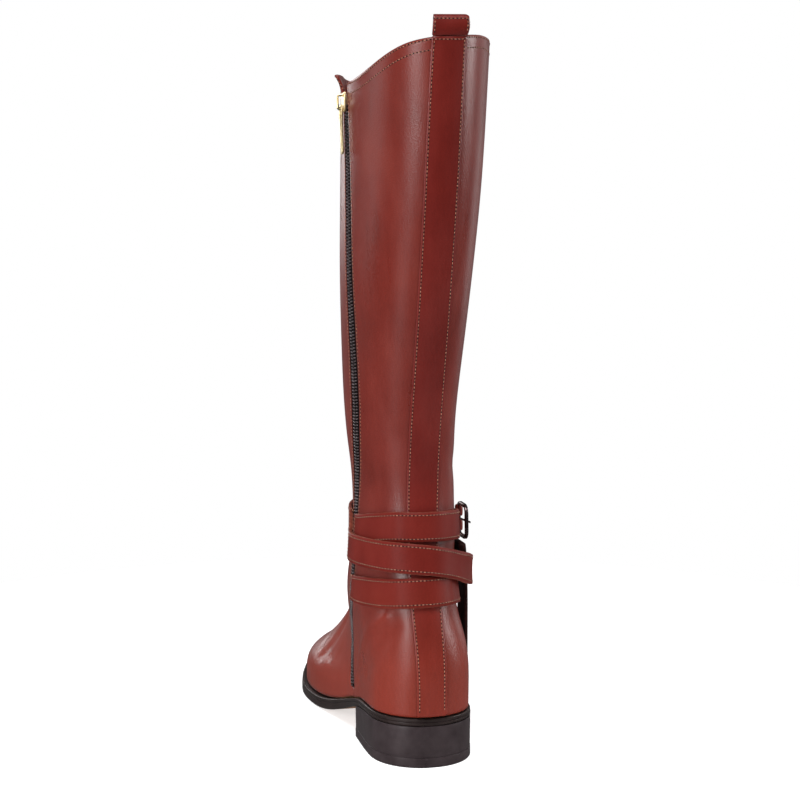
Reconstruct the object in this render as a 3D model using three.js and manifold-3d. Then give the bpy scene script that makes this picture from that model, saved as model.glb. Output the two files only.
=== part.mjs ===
// A knee-high riding boot for the right foot: a smooth leather upper with a zip on its inner side and
// three ankle straps, on a low block heel. Millimetres. +Z is up, +Y points to the toe and +X to the
// outer side of the leg. The origin is on the floor, under the middle of the heel's round back.
import * as THREE from "three";
import Module from "manifold-3d";
import { mergeVertices } from "three/addons/utils/BufferGeometryUtils.js";

const wasm = await Module();
wasm.setup();

// Driving dimensions
const GAP = 0.3; // between pieces that touch
const WALL = 2; // leather and lining together
const HEEL_BACK = -32.2; // the upper's hindmost point at the sole
const TIP = 228; // and its foremost
const HEEL_ROUND = 32; // lengths over which the plan closes at heel and toe
const TOE_ROUND = 86;
const SEAM = 1.1; // between the upper's bottom edge and the welt
const WELT = 3; // from the upper's bottom edge to the welt's underside
const FEATHER_IN = 6; // how far the welt reaches in under the upper
const LIFT = 6; // thickness of the top lift
const BREAST = 45; // the heel's flat front face
const CROWN_POWER = 1.6; // 2 is an oval section of the foot, 1 a ridge with straight sides
const FLARE = 9; // how far the corner in front of the zip turns outwards
const ZIP_HALF = 5; // half the width of the slit for the zip
const SLIDER_Z = 396; // height of the slider's middle
const STAY_THICK = 1.3; // the strip down the back and its loop
const STAY_TOP = 434.6; // where the strip down the back meets its loop
const LOOP_TOP = 447.5; // height of the pull loop's crown
const STRAP = 18; // width of the ankle straps
const STRAP_THICK = 2;
const BUCKLE = { turn: -82, z: 139, wide: 21, high: 22, bar: 2.3, lift: 6.1 };

// The leg and foot, one row for each height. back and front are the ends of the section along Y, centre
// is where they lie in X, inner and outer are its sides, backRound and frontRound the lengths over which
// it closes, and crown is how quickly the top of the foot widens behind its front.
const LEG = [
  { z: 8, back: -32.2, front: 228, centre: -3, inner: -32, outer: 29, backRound: 32, frontRound: 60, crown: 1 },
  { z: 22, back: -32.2, front: 228.5, centre: -3, inner: -32, outer: 29.5, backRound: 32, frontRound: 60, crown: 4 },
  { z: 28, back: -32.4, front: 224, centre: -3, inner: -32, outer: 30, backRound: 32, frontRound: 60, crown: 30 },
  { z: 34, back: -32.7, front: 205, centre: -3.2, inner: -32, outer: 30.5, backRound: 32, frontRound: 60, crown: 60 },
  { z: 42, back: -33, front: 184, centre: -3.5, inner: -32, outer: 31, backRound: 33, frontRound: 60, crown: 80 },
  { z: 56, back: -33.5, front: 157, centre: -4, inner: -32.2, outer: 30.6, backRound: 36, frontRound: 60, crown: 90 },
  { z: 72, back: -32, front: 131, centre: -4.5, inner: -35, outer: 27.6, backRound: 42, frontRound: 72, crown: 76 },
  { z: 90, back: -28.5, front: 107, centre: -5, inner: -36.5, outer: 23.6, backRound: 51, frontRound: 84, crown: 62 },
  { z: 112, back: -23, front: 89.5, centre: -5, inner: -36.5, outer: 23.8, backRound: 52, frontRound: 76, crown: 60 },
  { z: 130, back: -19, front: 83, centre: -5, inner: -36.2, outer: 26, backRound: 50, frontRound: 68, crown: 56 },
  { z: 165, back: -15.5, front: 79.5, centre: -4, inner: -36, outer: 25.4, backRound: 47, frontRound: 58, crown: 50 },
  { z: 200, back: -20, front: 79.5, centre: -4, inner: -39.6, outer: 25, backRound: 50, frontRound: 50, crown: 50 },
  { z: 250, back: -33, front: 81, centre: -4, inner: -42.7, outer: 28.3, backRound: 57, frontRound: 57, crown: 57 },
  { z: 300, back: -45, front: 83, centre: -4, inner: -44.4, outer: 32.4, backRound: 64, frontRound: 64, crown: 64 },
  { z: 350, back: -54, front: 85, centre: -3.5, inner: -44.1, outer: 36, backRound: 69.5, frontRound: 69.5, crown: 69 },
  { z: 400, back: -59.5, front: 86, centre: -3, inner: -43.9, outer: 38, backRound: 72.7, frontRound: 72.7, crown: 73 },
  { z: 438, back: -61, front: 86.5, centre: -3, inner: -43.9, outer: 39.4, backRound: 73.5, frontRound: 73.5, crown: 74 },
];

// The foot's plan at the sole, one row for each place along Y, before toe and heel are rounded. feather
// is the height of the upper's bottom edge, tread of the outsole's underside, and ledge is how far the
// sole stands out past the upper.
const PLAN = [
  { y: -32, inner: -32, outer: 28.2, middle: -3, feather: 31, tread: 25.6, ledge: 1 },
  { y: 0, inner: -32.2, outer: 28.4, middle: -2.8, feather: 30.6, tread: 25.3, ledge: 1 },
  { y: 35, inner: -31, outer: 29.4, middle: -2, feather: 28.2, tread: 22.8, ledge: 1.2 },
  { y: 60, inner: -29.5, outer: 32, middle: -1, feather: 22, tread: 15.6, ledge: 1.6 },
  { y: 90, inner: -31.5, outer: 37, middle: -1, feather: 14, tread: 6.4, ledge: 2 },
  { y: 117, inner: -36, outer: 41.8, middle: -1, feather: 8, tread: 0, ledge: 2.4 },
  { y: 150, inner: -38.8, outer: 44.4, middle: -1, feather: 8, tread: 0, ledge: 2.4 },
  { y: 163, inner: -38.6, outer: 44.4, middle: -1, feather: 8, tread: 0, ledge: 2.4 },
  { y: 185, inner: -36.5, outer: 43.6, middle: -0.5, feather: 9.8, tread: 1.8, ledge: 2.5 },
  { y: 205, inner: -34.5, outer: 42.5, middle: 0, feather: 12.8, tread: 4.8, ledge: 2.5 },
  { y: 230, inner: -33, outer: 41, middle: 0.5, feather: 17.5, tread: 9.5, ledge: 2.6 },
];

// Height of the collar round the leg: 0 is the middle of the back, 90 the zip, 180 the front, 270 the outer side.
const COLLAR = [
  { turn: 0, z: 435 },
  { turn: 27, z: 431.8 },
  { turn: 45, z: 424.8 },
  { turn: 60, z: 416.5 },
  { turn: 74, z: 410.5 },
  { turn: 86, z: 408 },
  { turn: 94, z: 412 },
  { turn: 108, z: 411 },
  { turn: 150, z: 407 },
  { turn: 200, z: 407 },
  { turn: 240, z: 415 },
  { turn: 270, z: 425 },
  { turn: 300, z: 432 },
  { turn: 330, z: 435.5 },
  { turn: 360, z: 435 },
];

// The zip's line down the inner side.
const ZIP = [
  { z: 20, y: 56.7 },
  { z: 32, y: 63.7 },
  { z: 47, y: 67.7 },
  { z: 62, y: 61.7 },
  { z: 86, y: 43.7 },
  { z: 103, y: 33.7 },
  { z: 165, y: 23.7 },
  { z: 216, y: 12.7 },
  { z: 260, y: 8.2 },
  { z: 330, y: 8.2 },
  { z: 375, y: 11.2 },
  { z: 410, y: 15.7 },
];

// Heights of the upper's rings, as shares of the way from the sole to the collar, and its columns round the leg.
const RINGS = [
  0, 0.017, 0.032, 0.05, 0.07, 0.092, 0.116, 0.142, 0.17, 0.2, 0.232, 0.266, 0.302, 0.34, 0.385, 0.435, 0.49, 0.55,
  0.62, 0.7, 0.78, 0.86, 0.94, 0.975, 1,
];
const COLUMN_STEP = 9;
const STRAP_STEP = 6;
const SLIT_RING = 1; // the slit starts at this ring
const SLIT_FOOT = 0.6; // its two columns draw together below it

// The strip down the back: half its width at each height, and how far its middle lies to the outer side.
const STAY = [
  { z: 32, half: 8.8, aside: 0 },
  { z: 170, half: 9.6, aside: 0 },
  { z: 385, half: 10.2, aside: 0.2 },
  { z: 425, half: 10, aside: 1.4 },
  { z: 448, half: 9.8, aside: 2.2 },
];

// The ankle straps: height of the middle line and lift of the inner face, round the leg from its back. Minus is
// to the outer side.
const REAR_STRAP = [
  { turn: -84, z: 137.5, lift: 1.5 },
  { turn: -60, z: 140.5, lift: 0.9 },
  { turn: -27, z: 143.5, lift: 2.2 },
  { turn: 0, z: 144.3, lift: 2.2 },
  { turn: 24, z: 144.2, lift: 2.2 },
  { turn: 38, z: 143.3, lift: 0.9 },
  { turn: 60, z: 141, lift: 0.5 },
  { turn: 84, z: 138, lift: 0.5 },
];
const FRONT_STRAP = [
  { turn: -265, z: 139, lift: 0.5 },
  { turn: -235, z: 139, lift: 0.6 },
  { turn: -205, z: 138.7, lift: 0.9 },
  { turn: -155, z: 138.5, lift: 0.9 },
  { turn: -120, z: 138.5, lift: 0.9 },
  { turn: -96, z: 139, lift: 1.7 },
];
const LOWER_STRAP = [
  { turn: -105, z: 97.5, lift: 0.5 },
  { turn: -70, z: 100.5, lift: 0.5 },
  { turn: -39, z: 104.3, lift: 0.9 },
  { turn: -26, z: 105.3, lift: 2.2 },
  { turn: 0, z: 105.6, lift: 2.2 },
  { turn: 23, z: 104.8, lift: 2.2 },
  { turn: 37, z: 103.8, lift: 0.9 },
  { turn: 60, z: 102, lift: 0.5 },
  { turn: 84, z: 100, lift: 0.5 },
];
const CROSS_STRAP = [
  { turn: -205, z: 93, lift: 0.9 },
  { turn: -180, z: 95, lift: 0.9 },
  { turn: -150, z: 98, lift: 1.2 },
  { turn: -125, z: 102.5, lift: 3.6 },
  { turn: -105, z: 104.5, lift: 7.4 },
  { turn: -90, z: 106.5, lift: 10.5 },
  { turn: -72, z: 110, lift: 10.6 },
  { turn: -60, z: 113, lift: 8.1 },
  { turn: -45, z: 116.5, lift: 5.6 },
  { turn: -22, z: 121.5, lift: 4.8 },
  { turn: 0, z: 124.6, lift: 4.7 },
  { turn: 25, z: 126, lift: 4.6 },
  { turn: 50, z: 126.2, lift: 3.2 },
  { turn: 84, z: 126, lift: 2.9 },
  { turn: 93, z: 126, lift: 1.6 },
];

// The strap's loose end, from the buckle down the outer side: where its inner face hangs.
const TAIL = [
  { z: 53, x: 30.4, y: 22 },
  { z: 75, x: 30.4, y: 22 },
  { z: 95, x: 30.4, y: 22 },
  { z: 112, x: 30, y: 22 },
  { z: 121, x: 29.4, y: 22 },
  { z: 126.6, x: 28.8, y: 22 },
];

// Value of a table's column between its rows, on a smooth curve that never passes its rows.
function follow(table, key, column, at) {
  const last = table.length - 1;
  const rise = (i) => (table[i + 1][column] - table[i][column]) / (table[i + 1][key] - table[i][key]);
  const slope = (i) => {
    if (i === 0 || i === last) {
      return 0;
    }
    const before = rise(i - 1);
    const after = rise(i);
    return before * after <= 0 ? 0 : (2 * before * after) / (before + after);
  };
  if (at <= table[0][key]) {
    return table[0][column];
  }
  if (at >= table[last][key]) {
    return table[last][column];
  }
  const i = table.findIndex((row) => row[key] > at) - 1;
  const span = table[i + 1][key] - table[i][key];
  const t = (at - table[i][key]) / span;
  const start = table[i][column] * (1 + 2 * t) * (1 - t) ** 2 + span * slope(i) * t * (1 - t) ** 2;
  const end = table[i + 1][column] * (3 - 2 * t) * t ** 2 - span * slope(i + 1) * (1 - t) * t ** 2;
  return start + end;
}

const leg = (column, z) => follow(LEG, "z", column, z);
const plan = (column, y) => follow(PLAN, "y", column, y);
const radians = THREE.MathUtils.degToRad;
const mix = THREE.MathUtils.lerp;
const ease = THREE.MathUtils.smoothstep;

// A round end: the share of the full width at a distance from the end, over its length.
function round(distance, length) {
  const t = THREE.MathUtils.clamp(distance / length, 0, 1);
  return Math.sqrt(1 - (1 - t) ** 2);
}

// The top of the foot: it widens behind the front of a section, more and more slowly.
function crowned(distance, length) {
  const t = Math.max(distance, 0) / length;
  return (1 - (1 + t) ** -CROWN_POWER) ** (1 / CROWN_POWER);
}

// Place along Y of a turn about the leg. The inner columns lean so that the one at 90 degrees is the zip's line.
function alongFoot(turn, z) {
  const back = leg("back", z);
  const length = leg("front", z) - back;
  const zipTurn = THREE.MathUtils.radToDeg(Math.acos(1 - (2 * (follow(ZIP, "z", "y", z) - back)) / length));
  const inner = turn < 180 ? Math.sin(radians(turn)) ** 2 : 0;
  return back + (length * (1 - Math.cos(radians(turn + (zipTurn - 90) * inner)))) / 2;
}

// The corner in front of the zip's top turns outwards.
function flare(turn, y, z) {
  const beside = THREE.MathUtils.clamp(1 - (y - follow(ZIP, "z", "y", z)) / 26, 0, 1);
  return turn >= 90 && turn < 180 ? FLARE * ease(z, 402, 413) * beside ** 2 : 0;
}

// A point of the outer surface. slide moves it along Y on the wall.
function wallAt(turn, z, slide = 0) {
  const around = (turn + 360) % 360;
  const y = alongFoot(around, z) + slide;
  const onInner = around < 180;
  const up = ease(z, 30, 115);
  const side = onInner ? "inner" : "outer";
  const wide = mix(plan(side, y), leg(side, z), up);
  const middle = mix(plan("middle", y), leg("centre", z), up);
  const front = leg("front", z);
  const heelRound = round(y - leg("back", z), leg("backRound", z));
  const toeRound = mix(round(leg("front", Math.min(z, 22)) - y, TOE_ROUND), 1, up);
  const instep = mix(1, crowned(front - y, leg("crown", z)), ease(y, 40, 110));
  const shin = round(front - y, leg("frontRound", z));
  const x = middle + (wide - middle) * heelRound * toeRound * mix(instep, shin, ease(z, 85, 135));
  return new THREE.Vector3(x - flare(around + slide, y, z), y, z);
}

// Height at a share of the way from the sole to the collar.
function heightAt(turn, share, slide = 0) {
  const top = follow(COLLAR, "turn", "z", (turn + slide + 360) % 360);
  let z = 30 + share * 400;
  for (let i = 0; i < 12; i += 1) {
    z = mix(plan("feather", alongFoot((turn + 360) % 360, z)), top, share);
  }
  return z;
}

// A point lifted off the outer surface along its normal, or sunk under it.
function skin(turn, z, lift = 0, slide = 0) {
  const step = 2;
  const across = wallAt(turn + step, z, slide).sub(wallAt(turn - step, z, slide));
  const upwards = wallAt(turn, z + step, slide).sub(wallAt(turn, z - step, slide));
  return wallAt(turn, z, slide).addScaledVector(upwards.cross(across).normalize(), lift);
}

// A closed mesh from points and faces of three or four corners, turned so that it faces out.
function solid(name, material, points, faces) {
  const corners = [];
  for (const [a, b, c, d] of faces) {
    corners.push(a, b, c);
    if (d !== undefined) {
      corners.push(a, c, d);
    }
  }
  let volume = 0;
  for (let i = 0; i < corners.length; i += 3) {
    const [a, b, c] = corners.slice(i, i + 3).map((corner) => points[corner]);
    volume += a.dot(b.clone().cross(c));
  }
  const geometry = new THREE.BufferGeometry().setFromPoints(points);
  geometry.setIndex(volume < 0 ? corners.reverse() : corners);
  geometry.computeVertexNormals();
  const mesh = new THREE.Mesh(geometry, material);
  mesh.name = name;
  return mesh;
}

// A solid swept through sections that have the same number of points. It closes on itself or has two flat ends.
function swept(name, material, sections, closed = false) {
  const size = sections[0].length;
  const faces = [];
  const rows = closed ? sections.length : sections.length - 1;
  for (let i = 0; i < rows; i += 1) {
    const next = (i + 1) % sections.length;
    for (let j = 0; j < size; j += 1) {
      const k = (j + 1) % size;
      faces.push([i * size + j, i * size + k, next * size + k, next * size + j]);
    }
  }
  if (!closed) {
    const last = (sections.length - 1) * size;
    for (const [a, b, c] of endFaces(sections[0])) {
      faces.push([c, b, a]);
    }
    for (const [a, b, c] of endFaces(sections.at(-1))) {
      faces.push([last + a, last + b, last + c]);
    }
  }
  return solid(name, material, sections.flat(), faces);
}

// Triangles that fill a section, found in the plane that it fills best.
function endFaces(section) {
  const normal = new THREE.Vector3();
  section.forEach((point, i) => normal.add(point.clone().cross(section[(i + 1) % section.length])));
  normal.normalize();
  const across = section[1].clone().sub(section[0]).projectOnPlane(normal).normalize();
  const up = normal.clone().cross(across);
  const flat = section.map((point) => new THREE.Vector2(point.dot(across), point.dot(up)));
  return THREE.ShapeUtils.triangulateShape(flat, []);
}

// The sole's outline at a turn: the upper's bottom edge, grown outwards.
function outline(turn, grow) {
  const edge = (at) => {
    const y = mix(HEEL_BACK, TIP, (1 - Math.cos(radians(at))) / 2);
    const side = (at + 360) % 360 < 180 ? "inner" : "outer";
    const middle = plan("middle", y);
    const ends = round(y - HEEL_BACK, HEEL_ROUND) * round(TIP - y, TOE_ROUND);
    return new THREE.Vector2(middle + (plan(side, y) - middle) * ends, y);
  };
  const along = edge(turn + 1).sub(edge(turn - 1)).normalize();
  return edge(turn).add(new THREE.Vector2(-along.y, along.x).multiplyScalar(grow));
}

// A flat-lying layer of the sole: sections across the foot, each from layers of height and outline.
// Each layer gives its height and its growth at a place along Y, from the bottom up.
function layered(name, material, turns, layers) {
  const sections = turns.map((turn) => {
    const edge = (at) => layers.map(({ z, grow }) => {
      const point = outline(at, grow(outline(at, 0).y));
      return new THREE.Vector3(point.x, point.y, z(point.y));
    });
    return [...edge(turn), ...edge(360 - turn).reverse()];
  });
  return swept(name, material, sections);
}

const leather = new THREE.MeshStandardMaterial({ color: 0x7d332a, roughness: 0.42 });
const strapLeather = new THREE.MeshStandardMaterial({ color: 0x7a2f27, roughness: 0.45 });
const soleRubber = new THREE.MeshStandardMaterial({ color: 0x1d1a1a, roughness: 0.5 });
const boardFelt = new THREE.MeshStandardMaterial({ color: 0xa98a6a, roughness: 0.9 });
const zipNylon = new THREE.MeshStandardMaterial({ color: 0x17120f, roughness: 0.6 });
const paleMetal = new THREE.MeshStandardMaterial({ color: 0xc9b299, roughness: 0.25, metalness: 1 });

// Columns of the upper: even steps round the leg, with the two edges of the slit in place of the one at 90.
function upperColumns() {
  const columns = [];
  for (let turn = 0; turn < 360; turn += COLUMN_STEP) {
    if (turn === 90) {
      columns.push({ turn, slide: -ZIP_HALF }, { turn, slide: ZIP_HALF });
    } else {
      columns.push({ turn, slide: 0 });
    }
  }
  return columns;
}

// The upper: outer and inner walls, joined round the collar, round the bottom and along the slit.
function makeUpper() {
  const columns = upperColumns();
  const rings = RINGS.length;
  const points = [];
  for (const lift of [0, -WALL]) {
    for (const { turn, slide } of columns) {
      const ring = (share, beside) => skin(turn, heightAt(turn, share, beside), lift, beside);
      points.push(...RINGS.map((share) => ring(share, share > 0 ? slide : slide * SLIT_FOOT)));
    }
  }
  const outer = (column, ring) => (column % columns.length) * rings + ring;
  const inner = (column, ring) => columns.length * rings + outer(column, ring);
  const slit = columns.findIndex((column) => column.slide < 0);
  const faces = [];
  for (let i = 0; i < columns.length; i += 1) {
    const top = i === slit ? SLIT_RING : rings - 1;
    for (let j = 0; j < top; j += 1) {
      faces.push([outer(i, j), outer(i + 1, j), outer(i + 1, j + 1), outer(i, j + 1)]);
      faces.push([inner(i, j + 1), inner(i + 1, j + 1), inner(i + 1, j), inner(i, j)]);
    }
    faces.push([outer(i + 1, 0), outer(i, 0), inner(i, 0), inner(i + 1, 0)]);
    faces.push([outer(i, top), outer(i + 1, top), inner(i + 1, top), inner(i, top)]);
  }
  for (let j = SLIT_RING; j < rings - 1; j += 1) {
    faces.push([outer(slit, j), inner(slit, j), inner(slit, j + 1), outer(slit, j + 1)]);
    faces.push([outer(slit + 1, j + 1), inner(slit + 1, j + 1), inner(slit + 1, j), outer(slit + 1, j)]);
  }
  return solid("upper", leather, points, faces);
}

const SOLE_TURNS = [5, 12, 20, 28, 37, 46, 55, 64, 73, 82, 91, 100, 109, 118, 127, 136, 145, 153, 161, 168, 175];

// Board on the welt's inner edge, with a wider top that reaches the upper's wall.
function makeInsole() {
  const low = (y) => plan("feather", y) - WELT;
  const step = (y) => plan("feather", y) + GAP;
  const high = (y) => plan("feather", y) + 2.5;
  const narrow = () => -FEATHER_IN - 2;
  const wide = () => -WALL - 3;
  return layered("insole", boardFelt, SOLE_TURNS, [
    { z: low, grow: narrow },
    { z: step, grow: narrow },
    { z: step, grow: wide },
    { z: high, grow: wide },
  ]);
}

// Strip all round between the upper and the outsole.
function makeWelt() {
  const outerTurns = SOLE_TURNS.map((turn) => 360 - turn).reverse();
  const sections = [...SOLE_TURNS, ...outerTurns].map((turn) => {
    const out = outline(turn, plan("ledge", outline(turn, 0).y));
    const inside = outline(turn, -FEATHER_IN);
    const corner = ({ x, y }, down) => new THREE.Vector3(x, y, plan("feather", y) - down);
    return [corner(inside, WELT), corner(out, WELT), corner(out, SEAM), corner(inside, SEAM)];
  });
  return swept("welt", soleRubber, sections, true);
}

// Full-length outsole with its arch, its flat ball and its toe spring.
function makeOutsole() {
  return layered("outsole", soleRubber, SOLE_TURNS, [
    { z: (y) => plan("tread", y), grow: (y) => plan("ledge", y) - 0.8 },
    { z: (y) => plan("tread", y) + 0.9, grow: (y) => plan("ledge", y) + 0.2 },
    { z: (y) => plan("feather", y) - WELT - GAP, grow: (y) => plan("ledge", y) + 0.2 },
  ]);
}

// Turns at which the heel's outline is cut, from its back to its breast.
function heelTurns() {
  const last = THREE.MathUtils.radToDeg(Math.acos(1 - (2 * (BREAST - HEEL_BACK)) / (TIP - HEEL_BACK)));
  return [4, 9, 15, 22, 30, 38, 46, 54, last];
}

function makeHeelBlock() {
  return layered("heel_block", soleRubber, heelTurns(), [
    { z: () => LIFT + GAP, grow: () => 0.8 },
    { z: (y) => plan("tread", y) - GAP, grow: () => 1 },
  ]);
}

function makeTopLift() {
  return layered("top_lift", soleRubber, heelTurns(), [
    { z: () => 0, grow: () => 0.4 },
    { z: () => 0.8, grow: () => 1 },
    { z: () => LIFT, grow: () => 1 },
  ]);
}

// Turn at which the wall lies at a distance from the middle of the back, towards the inner side.
function turnBeside(distance, z) {
  const x = wallAt(0, z).x - distance;
  let turn = 0;
  for (let i = 0; i < 8; i += 1) {
    const slope = (wallAt(turn + 1, z).x - wallAt(turn - 1, z).x) / 2;
    turn += (x - wallAt(turn, z).x) / slope;
  }
  return turn;
}

// A row of points across the strip at the back, on the wall's curve or flat above it.
function acrossStay(z, lift, widthZ = z, flat = 0) {
  const half = follow(STAY, "z", "half", widthZ);
  const aside = follow(STAY, "z", "aside", widthZ);
  const row = [-1, -0.5, 0, 0.5, 1].map((share) => skin(turnBeside(half * share - aside, z), z, lift));
  return row.map((point) => point.setY(mix(point.y, row[2].y, flat)));
}

// How far the strip has left the wall's curve for a flat fold, from 0 to 1.
function flatness(z) {
  return ease(z, 430, 441);
}

// The strip sewn down the seam at the back, from the welt to the pull loop.
function makeBackStay() {
  const heights = RINGS.map((share) => heightAt(0, share)).filter((z) => z > 36 && z < 420);
  const sections = [32, ...heights, 428, STAY_TOP].map((z) => [
    ...acrossStay(z, GAP + 0.15 + STAY_THICK, z, flatness(z)),
    ...acrossStay(z, GAP + 0.15, z, flatness(z)).reverse(),
  ]);
  return swept("back_stay", leather, sections);
}

// The loop above it: the same strip, folded over the collar and down inside. Rows are its middle line.
function makePullLoop() {
  const path = [
    { lift: 1.4, z: STAY_TOP + 2 * GAP },
    { lift: 2.3, z: 438 },
    { lift: 2.7, z: 441.5 },
    { lift: 1.7, z: LOOP_TOP - 2 },
    { lift: -1.2, z: LOOP_TOP - 0.7 },
    { lift: -4.1, z: LOOP_TOP - 2 },
    { lift: -5, z: 441.5 },
    { lift: -4.6, z: 436 },
    { lift: -3.4, z: 422 },
  ];
  const sections = path.map((here, i) => {
    const before = path[Math.max(i - 1, 0)];
    const after = path[Math.min(i + 1, path.length - 1)];
    const along = new THREE.Vector2(after.lift - before.lift, after.z - before.z).setLength(STAY_THICK / 2);
    const out = acrossStay(here.z - along.x, here.lift + along.y, here.z, flatness(here.z));
    const inside = acrossStay(here.z + along.x, here.lift - along.y, here.z, flatness(here.z));
    return [...out, ...inside.reverse()];
  });
  return swept("pull_loop", leather, sections);
}

// The zip: a closed coil in the slit, on a tape behind the two edges.
function makeZipChain() {
  const heights = RINGS.slice(SLIT_RING).map((share) => heightAt(90, share));
  const profile = [
    { slide: -10, lift: -3.4 },
    { slide: 10, lift: -3.4 },
    { slide: 10, lift: -2.7 },
    { slide: 4.4, lift: -2.7 },
    { slide: 4.4, lift: -0.5 },
    { slide: -4.4, lift: -0.5 },
    { slide: -4.4, lift: -2.7 },
    { slide: -10, lift: -2.7 },
  ];
  heights[0] += 0.6;
  const sections = [...heights.filter((z) => z < SLIDER_Z - 8), SLIDER_Z - 2].map((z) =>
    profile.map(({ slide, lift }) => skin(90, z, lift, slide)),
  );
  return swept("zip_chain", zipNylon, sections);
}

// A frame of reference on the wall: X forwards along it, Y up it and Z out of it.
function seatAt(turn, z) {
  const origin = skin(turn, z);
  const out = skin(turn, z, 1).sub(origin).normalize();
  const up = skin(turn, z + 1).sub(skin(turn, z - 1)).projectOnPlane(out).normalize();
  return new THREE.Matrix4().makeBasis(up.clone().cross(out), up, out).setPosition(origin);
}

// A flat plate from an outline and its hole, between two lifts.
function plate(outline2d, low, high, hole = []) {
  const shape = new THREE.Shape(outline2d.map(([x, y]) => new THREE.Vector2(x, y)));
  if (hole.length) {
    shape.holes.push(new THREE.Path(hole.map(([x, y]) => new THREE.Vector2(x, y))));
  }
  return new THREE.ExtrudeGeometry(shape, { depth: high - low, bevelEnabled: false }).translate(0, 0, low);
}

// Two closed geometries joined to one.
function joined(one, other) {
  const solids = [one, other].map((geometry) => {
    const bare = mergeVertices(new THREE.BufferGeometry().setAttribute("position", geometry.getAttribute("position")));
    const mesh = { numProp: 3, vertProperties: bare.attributes.position.array, triVerts: bare.index.array };
    return new wasm.Manifold(new wasm.Mesh({ ...mesh, triVerts: new Uint32Array(mesh.triVerts) }));
  });
  const both = solids[0].add(solids[1]).getMesh();
  const geometry = new THREE.BufferGeometry();
  geometry.setAttribute("position", new THREE.BufferAttribute(both.vertProperties, 3));
  geometry.setIndex(new THREE.BufferAttribute(both.triVerts, 1));
  geometry.computeVertexNormals();
  return geometry;
}

function placed(name, geometry, material, seat) {
  const mesh = new THREE.Mesh(geometry, material);
  mesh.name = name;
  mesh.applyMatrix4(seat);
  return mesh;
}

const PLATE_TOP = 1.7; // lift of the slider's face
const PULL = { up: -2.3, lift: 3, half: 0.6 }; // the pull's bar in the slider's bail

// The slider: a plate on the coil and a bail over it.
function makeZipSlider() {
  const body = [[-3.4, -5.8], [3.4, -5.8], [4.6, 1], [4.4, 5.6], [-4.4, 5.6], [-4.6, 1]];
  const bail = [[-4.8, 1.2], [4.8, 1.2], [4.8, 4.2], [3.6, 5.4], [-3.6, 5.4], [-4.8, 4.2]];
  const opening = [[-3.6, PLATE_TOP], [3.6, PLATE_TOP], [3.6, 4.3], [-3.6, 4.3]];
  const turned = new THREE.Matrix4().makeBasis(
    new THREE.Vector3(0, 1, 0),
    new THREE.Vector3(0, 0, 1),
    new THREE.Vector3(1, 0, 0),
  );
  const arch = plate(bail, -1.2, 1.2, opening).applyMatrix4(turned);
  return placed("zip_slider", joined(plate(body, 0.4, PLATE_TOP), arch), paleMetal, seatAt(90, SLIDER_Z));
}

// The pull: a ring through the bail with a tab below it.
function makeZipPull() {
  const top = PULL.up + PULL.half;
  const left = [[-3, top], [-3, -10.2], [-2.3, -11.4], [-2.4, -29.4], [-1.4, -30.8]];
  const right = left.map(([x, y]) => [-x, y]).reverse();
  const opening = [[-1.8, PULL.up - PULL.half], [1.8, PULL.up - PULL.half], [1.8, -9.4], [-1.8, -9.4]];
  const geometry = plate([...left, ...right], PULL.lift - PULL.half, PULL.lift + PULL.half, opening);
  return placed("zip_pull", geometry, paleMetal, seatAt(90, SLIDER_Z));
}

// A strap round the ankle: three rows of points across it, on the wall's own shape.
function makeStrap(name, path) {
  const first = path[0].turn;
  const last = path.at(-1).turn;
  const steps = Math.ceil((last - first) / STRAP_STEP);
  const sections = [];
  for (let i = 0; i <= steps; i += 1) {
    const turn = mix(first, last, i / steps);
    const z = follow(path, "turn", "z", turn);
    const lift = follow(path, "turn", "lift", turn);
    const rise = skin(turn, z + 4, lift).distanceTo(skin(turn, z - 4, lift)) / 8;
    const rows = [-1, 0, 1].map((side) => z + (side * STRAP) / 2 / rise);
    const inside = rows.map((row) => skin(turn, row, lift));
    const outside = rows.map((row) => skin(turn, row, lift + STRAP_THICK));
    sections.push([...inside, ...outside.reverse()]);
  }
  return swept(name, strapLeather, sections);
}

// The strap's end that hangs down the outer side, flat to the leg.
function makeTail() {
  const sections = TAIL.map(({ z, x, y }) => [
    new THREE.Vector3(x, y - STRAP / 2, z),
    new THREE.Vector3(x, y + STRAP / 2, z),
    new THREE.Vector3(x + STRAP_THICK, y + STRAP / 2, z),
    new THREE.Vector3(x + STRAP_THICK, y - STRAP / 2, z),
  ]);
  return swept("strap_tail", strapLeather, sections);
}

// An outline with round corners.
function roundedBox(wide, high, corner) {
  const points = [];
  for (const [sideX, sideY, start] of [[1, 1, 0], [-1, 1, 90], [-1, -1, 180], [1, -1, 270]]) {
    for (let turn = start; turn <= start + 90; turn += 22.5) {
      const x = sideX * (wide / 2 - corner) + corner * Math.cos(radians(turn));
      const y = sideY * (high / 2 - corner) + corner * Math.sin(radians(turn));
      points.push(new THREE.Vector2(x, y));
    }
  }
  return points;
}

function makeBuckleFrame() {
  const { wide, high, bar, lift } = BUCKLE;
  const round = 0.6; // of the frame's edges
  const shape = new THREE.Shape(roundedBox(wide - 2 * round, high - 2 * round, 5));
  shape.holes.push(new THREE.Path(roundedBox(wide - 2 * bar + 2 * round, high - 2 * bar + 2 * round, 3.2)));
  const edges = { bevelThickness: round, bevelSize: round, bevelSegments: 2 };
  const geometry = new THREE.ExtrudeGeometry(shape, { depth: bar - 2 * round, ...edges }).translate(0, 0, lift);
  return placed("buckle_frame", geometry, paleMetal, seatAt(BUCKLE.turn, BUCKLE.z));
}

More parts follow.
